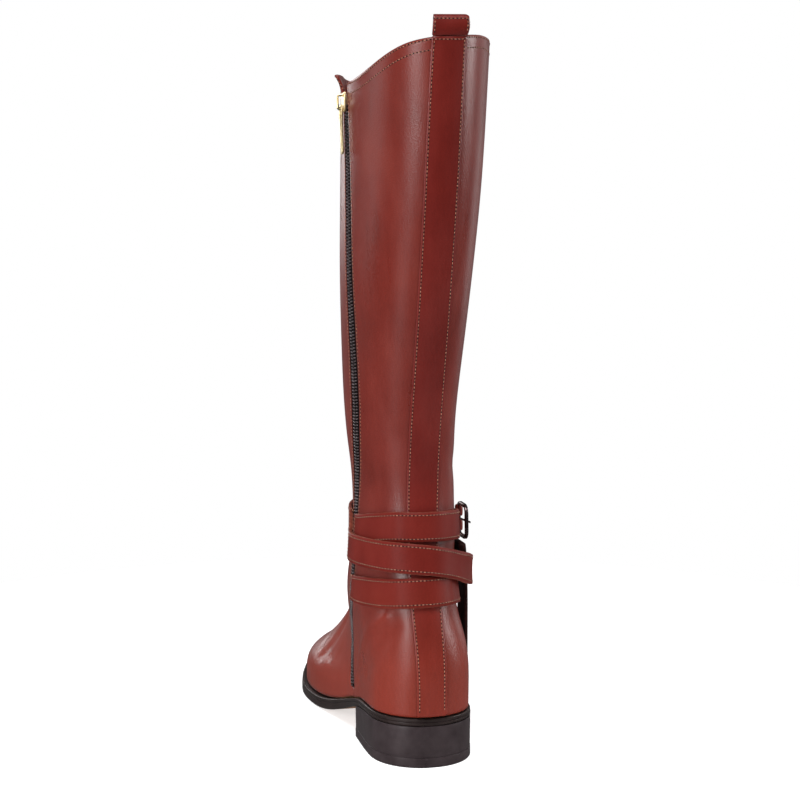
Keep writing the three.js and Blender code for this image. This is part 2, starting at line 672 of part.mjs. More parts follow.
// The prong: flat wire, hung on the frame's front bar, with its tip on top of the rear bar.
function makeBuckleProng() {
  const wide = 0.8;
  const thick = 0.5;
  const path = [[7.2, 6.8], [2, 7.1], [-5, 8.1], [-8, 8.95], [-10, 8.95]];
  const seat = seatAt(BUCKLE.turn, BUCKLE.z);
  const sections = path.map(([x, lift]) => {
    const ring = [0, 60, 120, 180, 240, 300].map((turn) => {
      const up = wide * Math.cos(radians(turn));
      return new THREE.Vector3(x, up, lift + thick * Math.sin(radians(turn))).applyMatrix4(seat);
    });
    return ring;
  });
  return swept("buckle_prong", paleMetal, sections);
}

export default new THREE.Group().add(
  makeUpper(),
  makeInsole(),
  makeWelt(),
  makeOutsole(),
  makeHeelBlock(),
  makeTopLift(),
  makeBackStay(),
  makePullLoop(),
  makeZipChain(),
  makeZipSlider(),
  makeZipPull(),
  makeStrap("strap_rear", REAR_STRAP),
  makeStrap("strap_front", FRONT_STRAP),
  makeStrap("strap_cross", CROSS_STRAP),
  makeStrap("strap_lower", LOWER_STRAP),
  makeTail(),
  makeBuckleFrame(),
  makeBuckleProng(),
);
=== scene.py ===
"""A knee-high riding boot of smooth brown leather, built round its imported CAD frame. Metres throughout."""

import itertools
import math

import bmesh
import bpy
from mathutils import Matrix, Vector
from mathutils.bvhtree import BVHTree


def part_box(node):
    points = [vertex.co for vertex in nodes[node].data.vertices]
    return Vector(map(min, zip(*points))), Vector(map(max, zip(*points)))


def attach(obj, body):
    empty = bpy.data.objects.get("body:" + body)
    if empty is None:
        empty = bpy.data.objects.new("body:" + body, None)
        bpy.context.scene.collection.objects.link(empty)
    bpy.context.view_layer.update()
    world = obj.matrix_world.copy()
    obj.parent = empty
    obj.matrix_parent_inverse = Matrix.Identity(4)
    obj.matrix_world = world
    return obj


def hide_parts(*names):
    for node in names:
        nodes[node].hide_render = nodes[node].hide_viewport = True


MM = 0.001

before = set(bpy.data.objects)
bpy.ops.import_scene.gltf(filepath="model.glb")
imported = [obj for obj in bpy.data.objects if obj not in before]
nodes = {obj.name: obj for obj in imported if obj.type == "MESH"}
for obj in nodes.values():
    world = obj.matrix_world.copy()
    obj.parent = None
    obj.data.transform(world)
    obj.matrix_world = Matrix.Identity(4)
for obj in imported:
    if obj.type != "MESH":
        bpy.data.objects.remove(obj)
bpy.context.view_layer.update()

# ---------------------------------------------------------------------------------------------
# The upper: calf leather about 2 mm thick with its lining, closed up the back and lasted over the
# sole. It creases at the ankle, and the stiff counter inside shows as a soft ridge round the heel.
# ---------------------------------------------------------------------------------------------

LEG_MIDDLE = Vector((-3 * MM, 22 * MM, 0))  # the straps and the shaft go round this line


def linear(code):
    """The linear RGBA of an sRGB hex colour."""
    parts = [int(code[i : i + 2], 16) / 255 for i in (1, 3, 5)]
    return [c / 12.92 if c <= 0.04045 else ((c + 0.055) / 1.055) ** 2.4 for c in parts] + [1.0]


def add(tree, kind, settings=None, stops=(), **inputs):
    """A node with its settings. A ramp's stops are (place, hex colour) pairs, and each input is a
    value or another node's output socket."""
    node = tree.nodes.new(kind)
    for name, value in (settings or {}).items():
        setattr(node, name, value)
    if stops:
        elements = node.color_ramp.elements
        while len(elements) < len(stops):
            elements.new(0.5)
        for element, (place, code) in zip(elements, stops):
            element.position = place
            element.color = linear(code)
    for name, value in inputs.items():
        key = name.replace("_", " ")
        socket = node.inputs[int(key[1:])] if key[0] == "i" and key[1:].isdigit() else node.inputs[key]
        if isinstance(value, bpy.types.NodeSocket):
            tree.links.new(value, socket)
        else:
            socket.default_value = value
    return node


def material(name):
    """An empty material with its tree, its shader and the object's own coordinates."""
    made = bpy.data.materials.new(name)
    made.use_nodes = True
    tree = made.node_tree
    shader = tree.nodes["Principled BSDF"]
    return made, tree, shader, add(tree, "ShaderNodeTexCoord").outputs["Object"]


def coloured(tree, shader, pattern, *stops):
    """Paints the surface through a ramp of (place, hex colour) stops on a pattern."""
    colour = add(tree, "ShaderNodeValToRGB", stops=stops, Fac=pattern)
    tree.links.new(colour.outputs["Color"], shader.inputs["Base Color"])


def raised(tree, shader, pattern, strength, height=0.1 * MM):
    """Lifts the surface a little where a pattern is high."""
    bump = add(tree, "ShaderNodeBump", Height=pattern, Strength=strength, Distance=height)
    tree.links.new(bump.outputs["Normal"], shader.inputs["Normal"])


def dulled(tree, shader, pattern, low, high):
    """Takes the surface from a low roughness to a high one as a pattern rises."""
    rough = add(
        tree, "ShaderNodeMapRange", Value=pattern, From_Min=0.3, From_Max=0.7, To_Min=low, To_Max=high
    )
    tree.links.new(rough.outputs["Result"], shader.inputs["Roughness"])


# Painted light: below 120 mm the leather turns lighter and more orange, fully so at 50 mm and below, as the
# lit floor would light it.
PAINTED_FLOOR_GLOW = {"colour": "#8e3522", "none_at": 120 * MM, "most_at": 50 * MM, "most": 0.34}


def smooth_leather(name, deep, middle, worn, gloss=0.31, glaze=0.36):
    """Aniline calf: smooth, waxed and lightly glazed. The wax leaves it darker and lighter in clouds
    about 60 mm across and upright streaks 17 mm wide. Low on the boot, over the heel and the foot,
    it is painted lighter and more orange: painted light from the lit floor. Calf's pores are about a
    fifth of a millimetre apart, and are drawn at 0.67 mm, because finer ones don't show."""
    made, tree, shader, place = material(name)
    clouds = add(
        tree, "ShaderNodeTexNoise", Vector=place, Scale=1 / (62.5 * MM), Detail=4, Roughness=0.55
    ).outputs["Fac"]
    long = add(tree, "ShaderNodeMapping", Vector=place, Scale=(1, 1, 0.25)).outputs[0]
    streaks = add(
        tree, "ShaderNodeTexNoise", Vector=long, Scale=1 / (16.67 * MM), Detail=5, Roughness=0.6
    ).outputs["Fac"]
    wax = add(tree, "ShaderNodeMix", Factor=0.35, A=clouds, B=streaks).outputs["Result"]
    shades = ((0.3, deep), (0.52, middle), (0.75, worn))
    tone = add(tree, "ShaderNodeValToRGB", stops=shades, Fac=wax).outputs["Color"]

    pores = add(
        tree, "ShaderNodeTexVoronoi", {"feature": "F1"}, Vector=place, Scale=1 / (0.667 * MM), Randomness=1
    ).outputs["Distance"]
    grain = add(
        tree, "ShaderNodeTexNoise", Vector=place, Scale=1 / (1.11 * MM), Detail=3, Roughness=0.6
    ).outputs["Fac"]
    skin = add(tree, "ShaderNodeMath", {"operation": "ADD"}, i0=pores, i1=grain).outputs[0]
    raised(tree, shader, skin, 0.5)

    colours = {"data_type": "RGBA"}
    # Painted floor light: the lower the surface, the more of the lighter orange colour it takes.
    high = add(tree, "ShaderNodeSeparateXYZ", Vector=place).outputs["Z"]
    share = add(
        tree,
        "ShaderNodeMapRange",
        Value=high,
        From_Min=PAINTED_FLOOR_GLOW["none_at"],
        From_Max=PAINTED_FLOOR_GLOW["most_at"],
        To_Min=0,
        To_Max=PAINTED_FLOOR_GLOW["most"],
    ).outputs["Result"]
    floor_glow_lit = add(tree, "ShaderNodeMix", colours, Factor=share)
    tree.links.new(tone, floor_glow_lit.inputs["A"])
    floor_glow_lit.inputs["B"].default_value = linear(PAINTED_FLOOR_GLOW["colour"])
    speck = add(
        tree, "ShaderNodeMapRange", Value=grain, From_Min=0.3, From_Max=0.75, To_Min=0.86, To_Max=1.08
    ).outputs["Result"]
    specked = add(tree, "ShaderNodeMix", colours | {"blend_type": "MULTIPLY"}, Factor=0.6)
    tree.links.new(floor_glow_lit.outputs["Result"], specked.inputs["A"])
    tree.links.new(speck, specked.inputs["B"])
    tree.links.new(specked.outputs["Result"], shader.inputs["Base Color"])

    dulled(tree, shader, streaks, gloss - 0.05, gloss + 0.08)
    shader.inputs["Specular IOR Level"].default_value = glaze
    return made


def lining_leather():
    """Split pigskin lining: undyed, matt, and pored about every 1.4 mm."""
    made, tree, shader, place = material("natural pigskin lining")
    tan = add(tree, "ShaderNodeTexNoise", Vector=place, Scale=1 / (22.2 * MM), Detail=6, Roughness=0.6)
    coloured(tree, shader, tan.outputs["Fac"], (0.3, "#8c6a4b"), (0.7, "#b08c68"))
    pores = add(tree, "ShaderNodeTexVoronoi", Vector=place, Scale=1 / (1.43 * MM))
    raised(tree, shader, pores.outputs["Distance"], 0.4)
    shader.inputs["Roughness"].default_value = 0.75
    return made


def cut_edge(name, deep, worn):
    """Leather's cut edge, dyed and rubbed with wax: dull, with bundles of fibre about 2.5 mm apart,
    coarser than real ones so that they show."""
    made, tree, shader, place = material(name)
    fibres = add(tree, "ShaderNodeTexNoise", Vector=place, Scale=1 / (2.5 * MM), Detail=4).outputs["Fac"]
    coloured(tree, shader, fibres, (0.35, deep), (0.7, worn))
    raised(tree, shader, fibres, 0.5)
    shader.inputs["Roughness"].default_value = 0.6
    shader.inputs["Specular IOR Level"].default_value = 0.12
    return made


UPPER_LEATHER = smooth_leather("waxed calf leather", "#591b14", "#6d241c", "#7b2e24")
LINING = lining_leather()
EDGE = cut_edge("dyed leather edge", "#1f0d0c", "#3a1b18")


def joined_mesh(node):
    """A bmesh of a CAD node with its loose triangles merged and made quads again."""
    bm = bmesh.new()
    bm.from_mesh(nodes[node].data)
    bmesh.ops.remove_doubles(bm, verts=bm.verts, dist=0.002 * MM)
    bmesh.ops.join_triangles(
        bm, faces=bm.faces, angle_face_threshold=math.radians(50), angle_shape_threshold=math.radians(65)
    )
    bm.normal_update()
    return bm


def kept_sharp(bm, angle, how=0.9):
    """Creases the edges where two faces meet at more than an angle, so that subdividing keeps them."""
    crease = bm.edges.layers.float.get("crease_edge") or bm.edges.layers.float.new("crease_edge")
    for edge in bm.edges:
        if len(edge.link_faces) == 2 and edge.calc_face_angle() > math.radians(angle):
            edge[crease] = how


def to_object(bm, name, *materials):
    """An object of a finished bmesh, in the scene, with its materials."""
    mesh = bpy.data.meshes.new(name)
    bm.to_mesh(mesh)
    bm.free()
    made = bpy.data.objects.new(name, mesh)
    bpy.context.scene.collection.objects.link(made)
    for one in materials:
        mesh.materials.append(one)
    return made


def with_modifier(piece, kind, **settings):
    """The piece with one modifier applied to its mesh."""
    modifier = piece.modifiers.new(kind.title(), kind)
    for name, value in settings.items():
        setattr(modifier, name, value)
    view = bpy.context.evaluated_depsgraph_get()
    mesh = bpy.data.meshes.new_from_object(piece.evaluated_get(view))
    piece.modifiers.clear()
    piece.data = mesh
    return piece


def softened(piece, levels):
    """The piece subdivided to a smooth shape, and shaded smooth."""
    with_modifier(piece, "SUBSURF", levels=levels, render_levels=levels)
    piece.data.shade_smooth()
    return piece


def takes_place_of(piece, node, body="boot"):
    """Puts a piece on its body in place of a CAD node."""
    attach(piece, body)
    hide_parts(node)
    return piece


def outward(face):
    """How much a face looks away from the middle of the leg, from -1 to 1."""
    middle = face.calc_center_median()
    away = middle - LEG_MIDDLE
    away.z = 0
    return face.normal.dot(away.normalized())


def tree_of(piece):
    """A search tree of the piece's own surface."""
    bm = bmesh.new()
    bm.from_mesh(piece.data)
    found = BVHTree.FromBMesh(bm)
    bm.free()
    return found


# Each crease is a soft ridge, or a trough where its height is minus: its line, width and height in
# millimetres. It fades like a bell across its width and is gone at its edge.
CREASES = [
    {"line": [(-27, -14, 90), (-31, 4, 78), (-33, 29, 57), (-32, 48, 36)], "wide": 5, "high": 1.5},
    {"line": [(-22, -19, 84), (-29, -8, 66), (-32, 14, 50)], "wide": 8, "high": -0.9},
    {"line": [(-38, 66, 74), (-36, 72, 58), (-34, 78, 42)], "wide": 5, "high": -2.5},
    {"line": [(-34, 84, 78), (-34, 92, 60), (-34, 104, 40)], "wide": 6, "high": -2.8},
    {"line": [(-26, 98, 74), (-30, 108, 56), (-34, 120, 36)], "wide": 6, "high": -2.6},
    {"line": [(-36, 74, 80), (-36, 80, 64), (-35, 90, 46)], "wide": 4, "high": 1.7},
    {"line": [(-30, 92, 76), (-32, 100, 58), (-34, 112, 38)], "wide": 4, "high": 1.7},
    {"line": [(-20, 112, 66), (-26, 124, 48), (-32, 136, 30)], "wide": 7, "high": -1.7},
    {"line": [(28, 60, 80), (31, 72, 60), (36, 84, 40)], "wide": 6, "high": -1.9},
    {"line": [(30, 72, 78), (34, 84, 58), (38, 96, 40)], "wide": 5, "high": 1.2},
    {"line": [(24, 84, 78), (30, 96, 58), (36, 108, 38)], "wide": 6, "high": -1.8},
    {"line": [(-24, 96, 96), (0, 104, 92), (22, 94, 92)], "wide": 7, "high": -1.9},
    {"line": [(-24, 104, 86), (0, 113, 84), (23, 102, 83)], "wide": 6, "high": 1.2},
    {"line": [(-24, 112, 76), (0, 122, 76), (24, 110, 74)], "wide": 7, "high": -1.7},
    {"line": [(-28, 150, 36), (0, 158, 50), (28, 150, 40)], "wide": 6, "high": -1.1},
    {"line": [(-24, 160, 32), (0, 168, 44), (28, 160, 36)], "wide": 5, "high": 0.6},
    {"line": [(-40, -2, 188), (-30, -16, 196), (-10, -21, 200)], "wide": 11, "high": -0.8},
    {"line": [(22, -8, 182), (26, 14, 176), (26, 44, 172)], "wide": 10, "high": -1.0},
    {"line": [(-30, 70, 158), (0, 79, 164), (22, 66, 158)], "wide": 9, "high": -1.5},
    {"line": [(-34, 62, 176), (-4, 80, 184), (22, 62, 178)], "wide": 10, "high": -1.1},
    {"line": [(-18, -31, 252), (2, -34, 254), (16, -28, 250)], "wide": 4, "high": -0.35},
]


CREASE_FADE = 2.2
CREASE_EDGE = 1.8  # widths from the line
CREASE_REACH = 70 * MM  # no crease runs farther than this from its middle


def near(point, line):
    """The distance from a point to a line of points."""
    best = 1e9
    for a, b in zip(line, line[1:]):
        run = b - a
        share = max(0.0, min(1.0, (point - a).dot(run) / run.length_squared))
        best = min(best, (point - a - run * share).length)
    return best


def creased(piece):
    """Moves the wall in and out along the creases, its lining with its outside."""
    lines = [([Vector(p) * MM for p in c["line"]], c["wide"] * MM, c["high"] * MM) for c in CREASES]
    lined = {v for face in piece.data.polygons if face.material_index == 1 for v in face.vertices}
    normals = [v.normal * (-1 if v.index in lined else 1) for v in piece.data.vertices]
    for vertex, normal in zip(piece.data.vertices, normals):
        move = 0.0
        for line, wide, high in lines:
            if (vertex.co - line[len(line) // 2]).length > CREASE_REACH:
                continue
            gap = near(vertex.co, line) / wide
            if gap < CREASE_EDGE:
                move += high * math.exp(-CREASE_FADE * gap * gap)
        vertex.co += normal * move
    return piece


FACING_LOW = 392 * MM  # above this the inside is faced with the upper's own leather
RIM_LOW = 380 * MM  # the collar's rim lies above this
RIM_FACE = 60 * MM * MM
SLIT_FACE = 80 * MM * MM  # the cut edges are made of small faces
SLIT_GAP = 1.3 * MM  # the slit's edges lie this near the zip


def make_upper():
    """The upper with its outside, its lining and its cut edges, and its creases."""
    bm = joined_mesh("upper")
    kept_sharp(bm, 48)
    zip_bm = joined_mesh("zip_chain")
    zip_tree = BVHTree.FromBMesh(zip_bm)
    zip_bm.free()
    for face in bm.faces:
        middle = face.calc_center_median()
        area = face.calc_area()
        rim = middle.z > RIM_LOW and abs(face.normal.z) > 0.75 and area < RIM_FACE
        slit = zip_tree.find_nearest(middle)[3] < SLIT_GAP and area < SLIT_FACE
        lined = outward(face) < 0 and middle.z < FACING_LOW
        face.material_index = 2 if rim or slit else (1 if lined else 0)
    return creased(softened(to_object(bm, "boot_upper", UPPER_LEATHER, LINING, EDGE), 2))


upper = takes_place_of(make_upper(), "upper")
upper_wall = tree_of(upper)

# ---------------------------------------------------------------------------------------------
# The sewing: thick waxed thread in a saddle-tan shade, about eleven stitches to the inch. Each
# stitch lies between two awl holes, whose shade is painted as dark points.
# ---------------------------------------------------------------------------------------------

STITCH_PITCH = 2.3 * MM
STITCH = (1.5 * MM, 0.62 * MM, 0.6 * MM)  # length, width and height, half of it sunk in the leather
# The size of each painted hole shade mark: length, width and height.
AWL_HOLE_SHADE = (1.15 * MM, 1.0 * MM, 0.26 * MM)


def waxed_thread(name, deep, pale):
    """Bonded polyester thread, waxed: soft in its shine, and a little darker and paler every 2 mm."""
    made, tree, shader, place = material(name)
    twist = add(tree, "ShaderNodeTexNoise", Vector=place, Scale=1 / (2 * MM), Detail=2)
    coloured(tree, shader, twist.outputs["Fac"], (0.35, deep), (0.65, pale))
    shader.inputs["Roughness"].default_value = 0.55
    return made


def painted_hole_shade():
    """The painted shade of a stitch hole: a dark mark with no shine, mottled every 1.25 mm."""
    made, tree, shader, place = material("painted shade of awl hole")
    shade_mottle = add(tree, "ShaderNodeTexNoise", Vector=place, Scale=1 / (1.25 * MM))
    coloured(tree, shader, shade_mottle.outputs["Fac"], (0.3, "#160909"), (0.7, "#2c1210"))
    shader.inputs["Roughness"].default_value = 0.9
    return made


THREAD = waxed_thread("waxed tan thread", "#7a4a38", "#ab785f")
WELT_THREAD = waxed_thread("waxed black thread", "#2b2220", "#4a3d39")
HOLE_SHADE = painted_hole_shade()


def seam_lines(node, inset, wanted):
    """The lines that run a distance in from the edges of a node's outer side, as lists of points."""
    bm = joined_mesh(node)
    inner = [face for face in bm.faces if not wanted(face)]
    bmesh.ops.delete(bm, geom=inner, context="FACES")
    kept = bm.faces[:]
    bmesh.ops.inset_region(bm, faces=kept, thickness=inset, use_even_offset=True, use_boundary=True)
    middle = set(kept)
    border = [e for e in bm.edges if len([f for f in e.link_faces if f in middle]) == 1]
    lines = []
    left = dict.fromkeys(border)  # keeps its order, so that the stitches fall the same way each time
    while left:
        edge = next(iter(left))
        del left[edge]
        line = [edge.verts[0], edge.verts[1]]
        for end in (1, 0):
            while True:
                tip = line[-1] if end else line[0]
                after = next((e for e in tip.link_edges if e in left), None)
                if after is None:
                    break
                del left[after]
                other = after.other_vert(tip)
                line.append(other) if end else line.insert(0, other)
        lines.append([v.co.copy() for v in line])
    bm.free()
    return lines


def spaced(line, pitch):
    """Points along a line at an even spacing, each with the direction there."""
    found = []
    left = pitch / 2
    for a, b in zip(line, line[1:]):
        run = (b - a).length
        if run < 1e-7:
            continue
        while left <= run:
            found.append((a.lerp(b, left / run), (b - a) / run))
            left += pitch
        left -= run
    return found


def add_blob(bm, spot, along, out, size, index):
    """A small rounded grain of a given length, width and height, lying on a surface."""
    side = out.cross(along).normalized()
    made = bmesh.ops.create_icosphere(bm, subdivisions=1, radius=1)["verts"]
    for vertex in made:
        x, y, z = vertex.co.x * size[0] / 2, vertex.co.y * size[1] / 2, vertex.co.z * size[2] / 2
        vertex.co = spot + along * x + side * y + out * z
    for face in {f for v in made for f in v.link_faces}:
        face.material_index = index
        face.smooth = True


def sewn(name, lines, wall, keep, thread=THREAD):
    """A row of stitches along each line, laid on a wall, with a dark mark of painted hole shade between each
    two.
    """
    bm = bmesh.new()
    for line in lines:
        for spot, along in spaced(line, STITCH_PITCH):
            if not keep(spot):
                continue
            at, out, _, gap = wall.find_nearest(spot)
            if at is None or gap > 4 * MM:
                continue
            along = (along - out * along.dot(out)).normalized()
            add_blob(bm, at, along, out, STITCH, 0)
            # Painted shade: a flat dark mark where the awl hole's shade would fall.
            hole = at + along * STITCH_PITCH / 2 - out * 0.02 * MM
            add_blob(bm, hole, along, out, AWL_HOLE_SHADE, 1)
    made = to_object(bm, name, thread, HOLE_SHADE)
    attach(made, "boot")
    return made


SEWN_ABOVE = 34 * MM  # below this the upper is lasted under and sewn through the welt
FOOT_TOP = 120 * MM


def upper_outside(face):
    return outward(face) > 0.25 and face.calc_area() > 0.5 * MM * MM


def edge_is_sewn(spot):
    """The topline and both edges of the zip are sewn; the front of the foot has no edge to sew."""
    return spot.z > SEWN_ABOVE and (spot.z > FOOT_TOP or 0 < spot.y < 60 * MM)


sewn("upper_edge_stitches", seam_lines("upper", 1.4 * MM, upper_outside), upper_wall, edge_is_sewn)
sewn(
    "collar_second_stitches",
    seam_lines("upper", 7.2 * MM, upper_outside),
    upper_wall,
    lambda spot: spot.z > 398 * MM,
)

# ---------------------------------------------------------------------------------------------
# The back stay and pull loop: one strip of the same calf, folded over the collar into a loop and
# sewn down both edges over the back seam, from the collar to the heel.
# ---------------------------------------------------------------------------------------------

STAY_LEATHER = smooth_leather("waxed calf strip", "#561410", "#691b15", "#7a241d")


def make_strip(node, name, levels, outer, edge, inner):
    """A leather strip from its CAD solid: its outer side, its cut edges and its back."""
    bm = joined_mesh(node)
    kept_sharp(bm, 50)
    for face in bm.faces:
        look = outward(face)
        face.material_index = 0 if look > 0.55 else (2 if look < -0.55 else 1)
        if node == "pull_loop" and abs(face.normal.x) < 0.6:
            face.material_index = 0  # it is folded, so its back and crown show the grain side
    return softened(to_object(bm, name, outer, edge, inner), levels)


stay = make_strip("back_stay", "back_stay_strip", 2, STAY_LEATHER, EDGE, EDGE)
takes_place_of(stay, "back_stay")
stay_wall = tree_of(stay)
loop = make_strip("pull_loop", "pull_loop_strip", 2, STAY_LEATHER, EDGE, STAY_LEATHER)
takes_place_of(loop, "pull_loop")
loop_wall = tree_of(loop)


def strip_outside(face):
    return outward(face) > 0.55


stay_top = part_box("back_stay")[1][2]
sewn(
    "back_stay_stitches",
    seam_lines("back_stay", 1.7 * MM, strip_outside),
    stay_wall,
    lambda spot: spot.z > 34.5 * MM,
)
sewn(
    "pull_loop_stitches",
    seam_lines("pull_loop", 1.4 * MM, strip_outside),
    loop_wall,
    lambda spot: spot.z > stay_top + 2.5 * MM,
)

# ---------------------------------------------------------------------------------------------
# The ankle straps: 2 mm bridle leather, brown on the grain side and black on the flesh side, with
# waxed edges and a row of stitches along each. The flesh side is so dark that it also paints the
# shade where it faces the leg, as in the gap behind the loose end. The top one is two halves that
# meet at the buckle, with a loose end hanging from it. One crosses the ankle below it and one runs
# low round the heel.
# ---------------------------------------------------------------------------------------------

STRAP_LEATHER = smooth_leather(
    "waxed bridle leather", "#52150f", "#641c16", "#72251e", gloss=0.46, glaze=0.1
)


def black_flesh_and_shade():
    """The flesh side of bridle leather, dyed black, and so dark that it also paints the shade where it faces
    the leg: matt, with a nap in tufts about 3 mm across.
    """
    made, tree, shader, place = material("black flesh side and painted shade")
    nap = add(
        tree, "ShaderNodeTexNoise", Vector=place, Scale=1 / (2.86 * MM), Detail=5, Roughness=0.65
    ).outputs["Fac"]
    coloured(tree, shader, nap, (0.35, "#0f0a0a"), (0.7, "#241b1a"))
    raised(tree, shader, nap, 0.5, 0.12 * MM)
    shader.inputs["Roughness"].default_value = 0.8
    return made


# Black dye and painted shade: the near-black flesh side also stands in for the shade in the gap behind the
# loose end.
BLACK_FLESH_AND_SHADE = black_flesh_and_shade()
STRAP_EDGE = cut_edge("waxed brown strap edge", "#5f2a20", "#8a4536")


FOLD = {"long": 17 * MM, "fade": 7 * MM, "thick": 2.5 * MM}


def fold_over(tail):
    """The loose end is doubled where it comes out of the buckle, so its top is thicker inside."""
    start = max(v.co.z for v in tail.data.vertices) - FOLD["long"]
    for vertex in tail.data.vertices:
        share = max(0.0, min(1.0, (vertex.co.z - start) / FOLD["fade"]))
        if vertex.normal.x < -0.3:
            vertex.co.x -= FOLD["thick"] * share * share * (3 - 2 * share)


for node in ("strap_rear", "strap_front", "strap_cross", "strap_lower", "strap_tail"):
    rim = EDGE if node == "strap_tail" else STRAP_EDGE
    strap = make_strip(node, node + "_leather", 2, STRAP_LEATHER, rim, BLACK_FLESH_AND_SHADE)
    takes_place_of(strap, node)
    if node == "strap_tail":
        fold_over(strap)
    strap_lines = seam_lines(node, 1.9 * MM, strip_outside)
    sewn(node + "_stitches", strap_lines, tree_of(strap), lambda spot: True)

# ---------------------------------------------------------------------------------------------
# The zip: a black nylon coil, woven tape behind it, and a pale brass slider with a swinging pull.
# Each turn of the coil shows as a short rounded bar, left and right in turn.
# ---------------------------------------------------------------------------------------------

COIL_PITCH = 2 * MM  # from one turn to the next on the same side
COIL_BAR = (2.5 * MM, 1.05 * MM, 2.2 * MM)  # each turn's length across the zip, width and height
COIL_LEAN = 0.3


def nylon_coil():
    """Moulded nylon monofilament, dyed black: smooth, with a narrow highlight on each turn, and a
    little dust in patches about 8 mm long."""
    made, tree, shader, place = material("black nylon coil")
    dust = add(tree, "ShaderNodeTexNoise", Vector=place, Scale=1 / (8.33 * MM), Detail=3)
    coloured(tree, shader, dust.outputs["Fac"], (0.35, "#3a2f31"), (0.7, "#584a4c"))
    shader.inputs["Roughness"].default_value = 0.32
    return made


def bands(spacing):
    """The scale of a wave pattern whose bands are a spacing apart."""
    return math.tau / 20 / spacing


def zip_tape():
    """Woven polyester tape: dull and black, with a fine rib across it every millimetre."""
    made, tree, shader, place = material("woven black zip tape")
    across = {"bands_direction": "Z"}
    ribs = add(
        tree, "ShaderNodeTexWave", across, Vector=place, Scale=bands(0.982 * MM), Distortion=0.4
    ).outputs["Fac"]
    coloured(tree, shader, ribs, (0.2, "#060404"), (0.8, "#150d0d"))
    raised(tree, shader, ribs, 0.6)
    shader.inputs["Roughness"].default_value = 0.9
    shader.inputs["Specular IOR Level"].default_value = 0.1
    return made


def plated_metal(name, rough, deep, pale):
    """Die-cast zinc, plated and tumbled: bright, with faint marks of wear about 4 mm apart."""
    made, tree, shader, place = material(name)
    wear = add(tree, "ShaderNodeTexNoise", Vector=place, Scale=1 / (4 * MM), Detail=4).outputs["Fac"]
    coloured(tree, shader, wear, (0.35, deep), (0.7, pale))
    dulled(tree, shader, wear, rough - 0.06, rough + 0.08)
    shader.inputs["Metallic"].default_value = 1.0
    return made


NYLON = nylon_coil()
TAPE = zip_tape()
BRASS = plated_metal("pale brass plate", 0.32, "#d9bf85", "#f6e6bd")


ROW_HIGH = 3 * MM  # the corners of one section of the zip lie within this height


def zip_rows():
    """The middle of the zip's face, from its bottom end to the slider."""
    bm = joined_mesh("zip_chain")
    points = sorted((v.co.copy() for v in bm.verts), key=lambda p: p.z)
    bm.free()
    rows = []
    while points:
        low = points[0].z
        row = [p for p in points if p.z < low + ROW_HIGH]
        points = [p for p in points if p.z >= low + ROW_HIGH]
        first, last = max(itertools.combinations(row, 2), key=lambda pair: (pair[0] - pair[1]).length)
        width = (last - first).normalized()
        front = sorted(row, key=lambda p: -(p - first).cross(width).length)[:2]
        rows.append((front[0] + front[1]) / 2)
    return rows


def make_coil(wall):
    """The coil's turns, laid on the tape left and right in turn, each leaning along the zip."""
    bm = bmesh.new()
    hand = 1
    for spot, along in spaced(zip_rows(), COIL_PITCH / 2):
        at, out, _, _ = wall.find_nearest(spot)
        across = out.cross(along).normalized()
        middle = at + across * hand * COIL_BAR[0] * 0.72 + out * 0.15 * MM
        lean = (across + along * COIL_LEAN * hand).normalized()
        add_blob(bm, middle, lean, out, COIL_BAR, 0)
        hand = -hand
    return to_object(bm, "zip_coil", NYLON)


tape = softened(to_object(joined_mesh("zip_chain"), "zip_tape", TAPE), 0)
takes_place_of(tape, "zip_chain")
coil = make_coil(tree_of(tape))
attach(coil, "boot")


def cast_metal(node, name, body, round_edge, metal=BRASS):
    """A cast piece from its CAD solid, with its edges rounded by tumbling."""
    piece = to_object(joined_mesh(node), name, metal)
    with_modifier(
        piece, "BEVEL", width=round_edge, segments=3, limit_method="ANGLE", angle_limit=math.radians(35)
    )
    piece.data.shade_smooth()
    return takes_place_of(piece, node, body)


cast_metal("zip_slider", "zip_slider_body", "boot", 0.35 * MM)
cast_metal("zip_pull", "zip_pull_tab", "zip_pull", 0.3 * MM)

# ---------------------------------------------------------------------------------------------
# The buckle: a cast frame with rounded bars, and a flat wire prong that hangs on the front bar and
# rests on the rear one. The front strap's end is folded round the front bar, and split at the prong.
# ---------------------------------------------------------------------------------------------

NICKEL = plated_metal("nickel plate", 0.26, "#4d3d3f", "#7d6d6e")
cast_metal("buckle_frame", "buckle_cast_frame", "boot", 0.15 * MM, NICKEL)
prong = softened(to_object(joined_mesh("buckle_prong"), "buckle_wire_prong", NICKEL), 1)
takes_place_of(prong, "buckle_prong")

WRAP = {"radius": 2.6 * MM, "gap": 0.95 * MM, "long": 7.4 * MM, "sides": 16}
WRAP_ENDS = ((0, 0.8), (0.07, 1), (0.5, 1), (0.93, 1), (1, 0.8))  # share of the length, of the radius
BAR_WIDE = 2.4 * MM
BAR_REACH = 9 * MM  # the front bar runs this far up and down from the buckle's middle


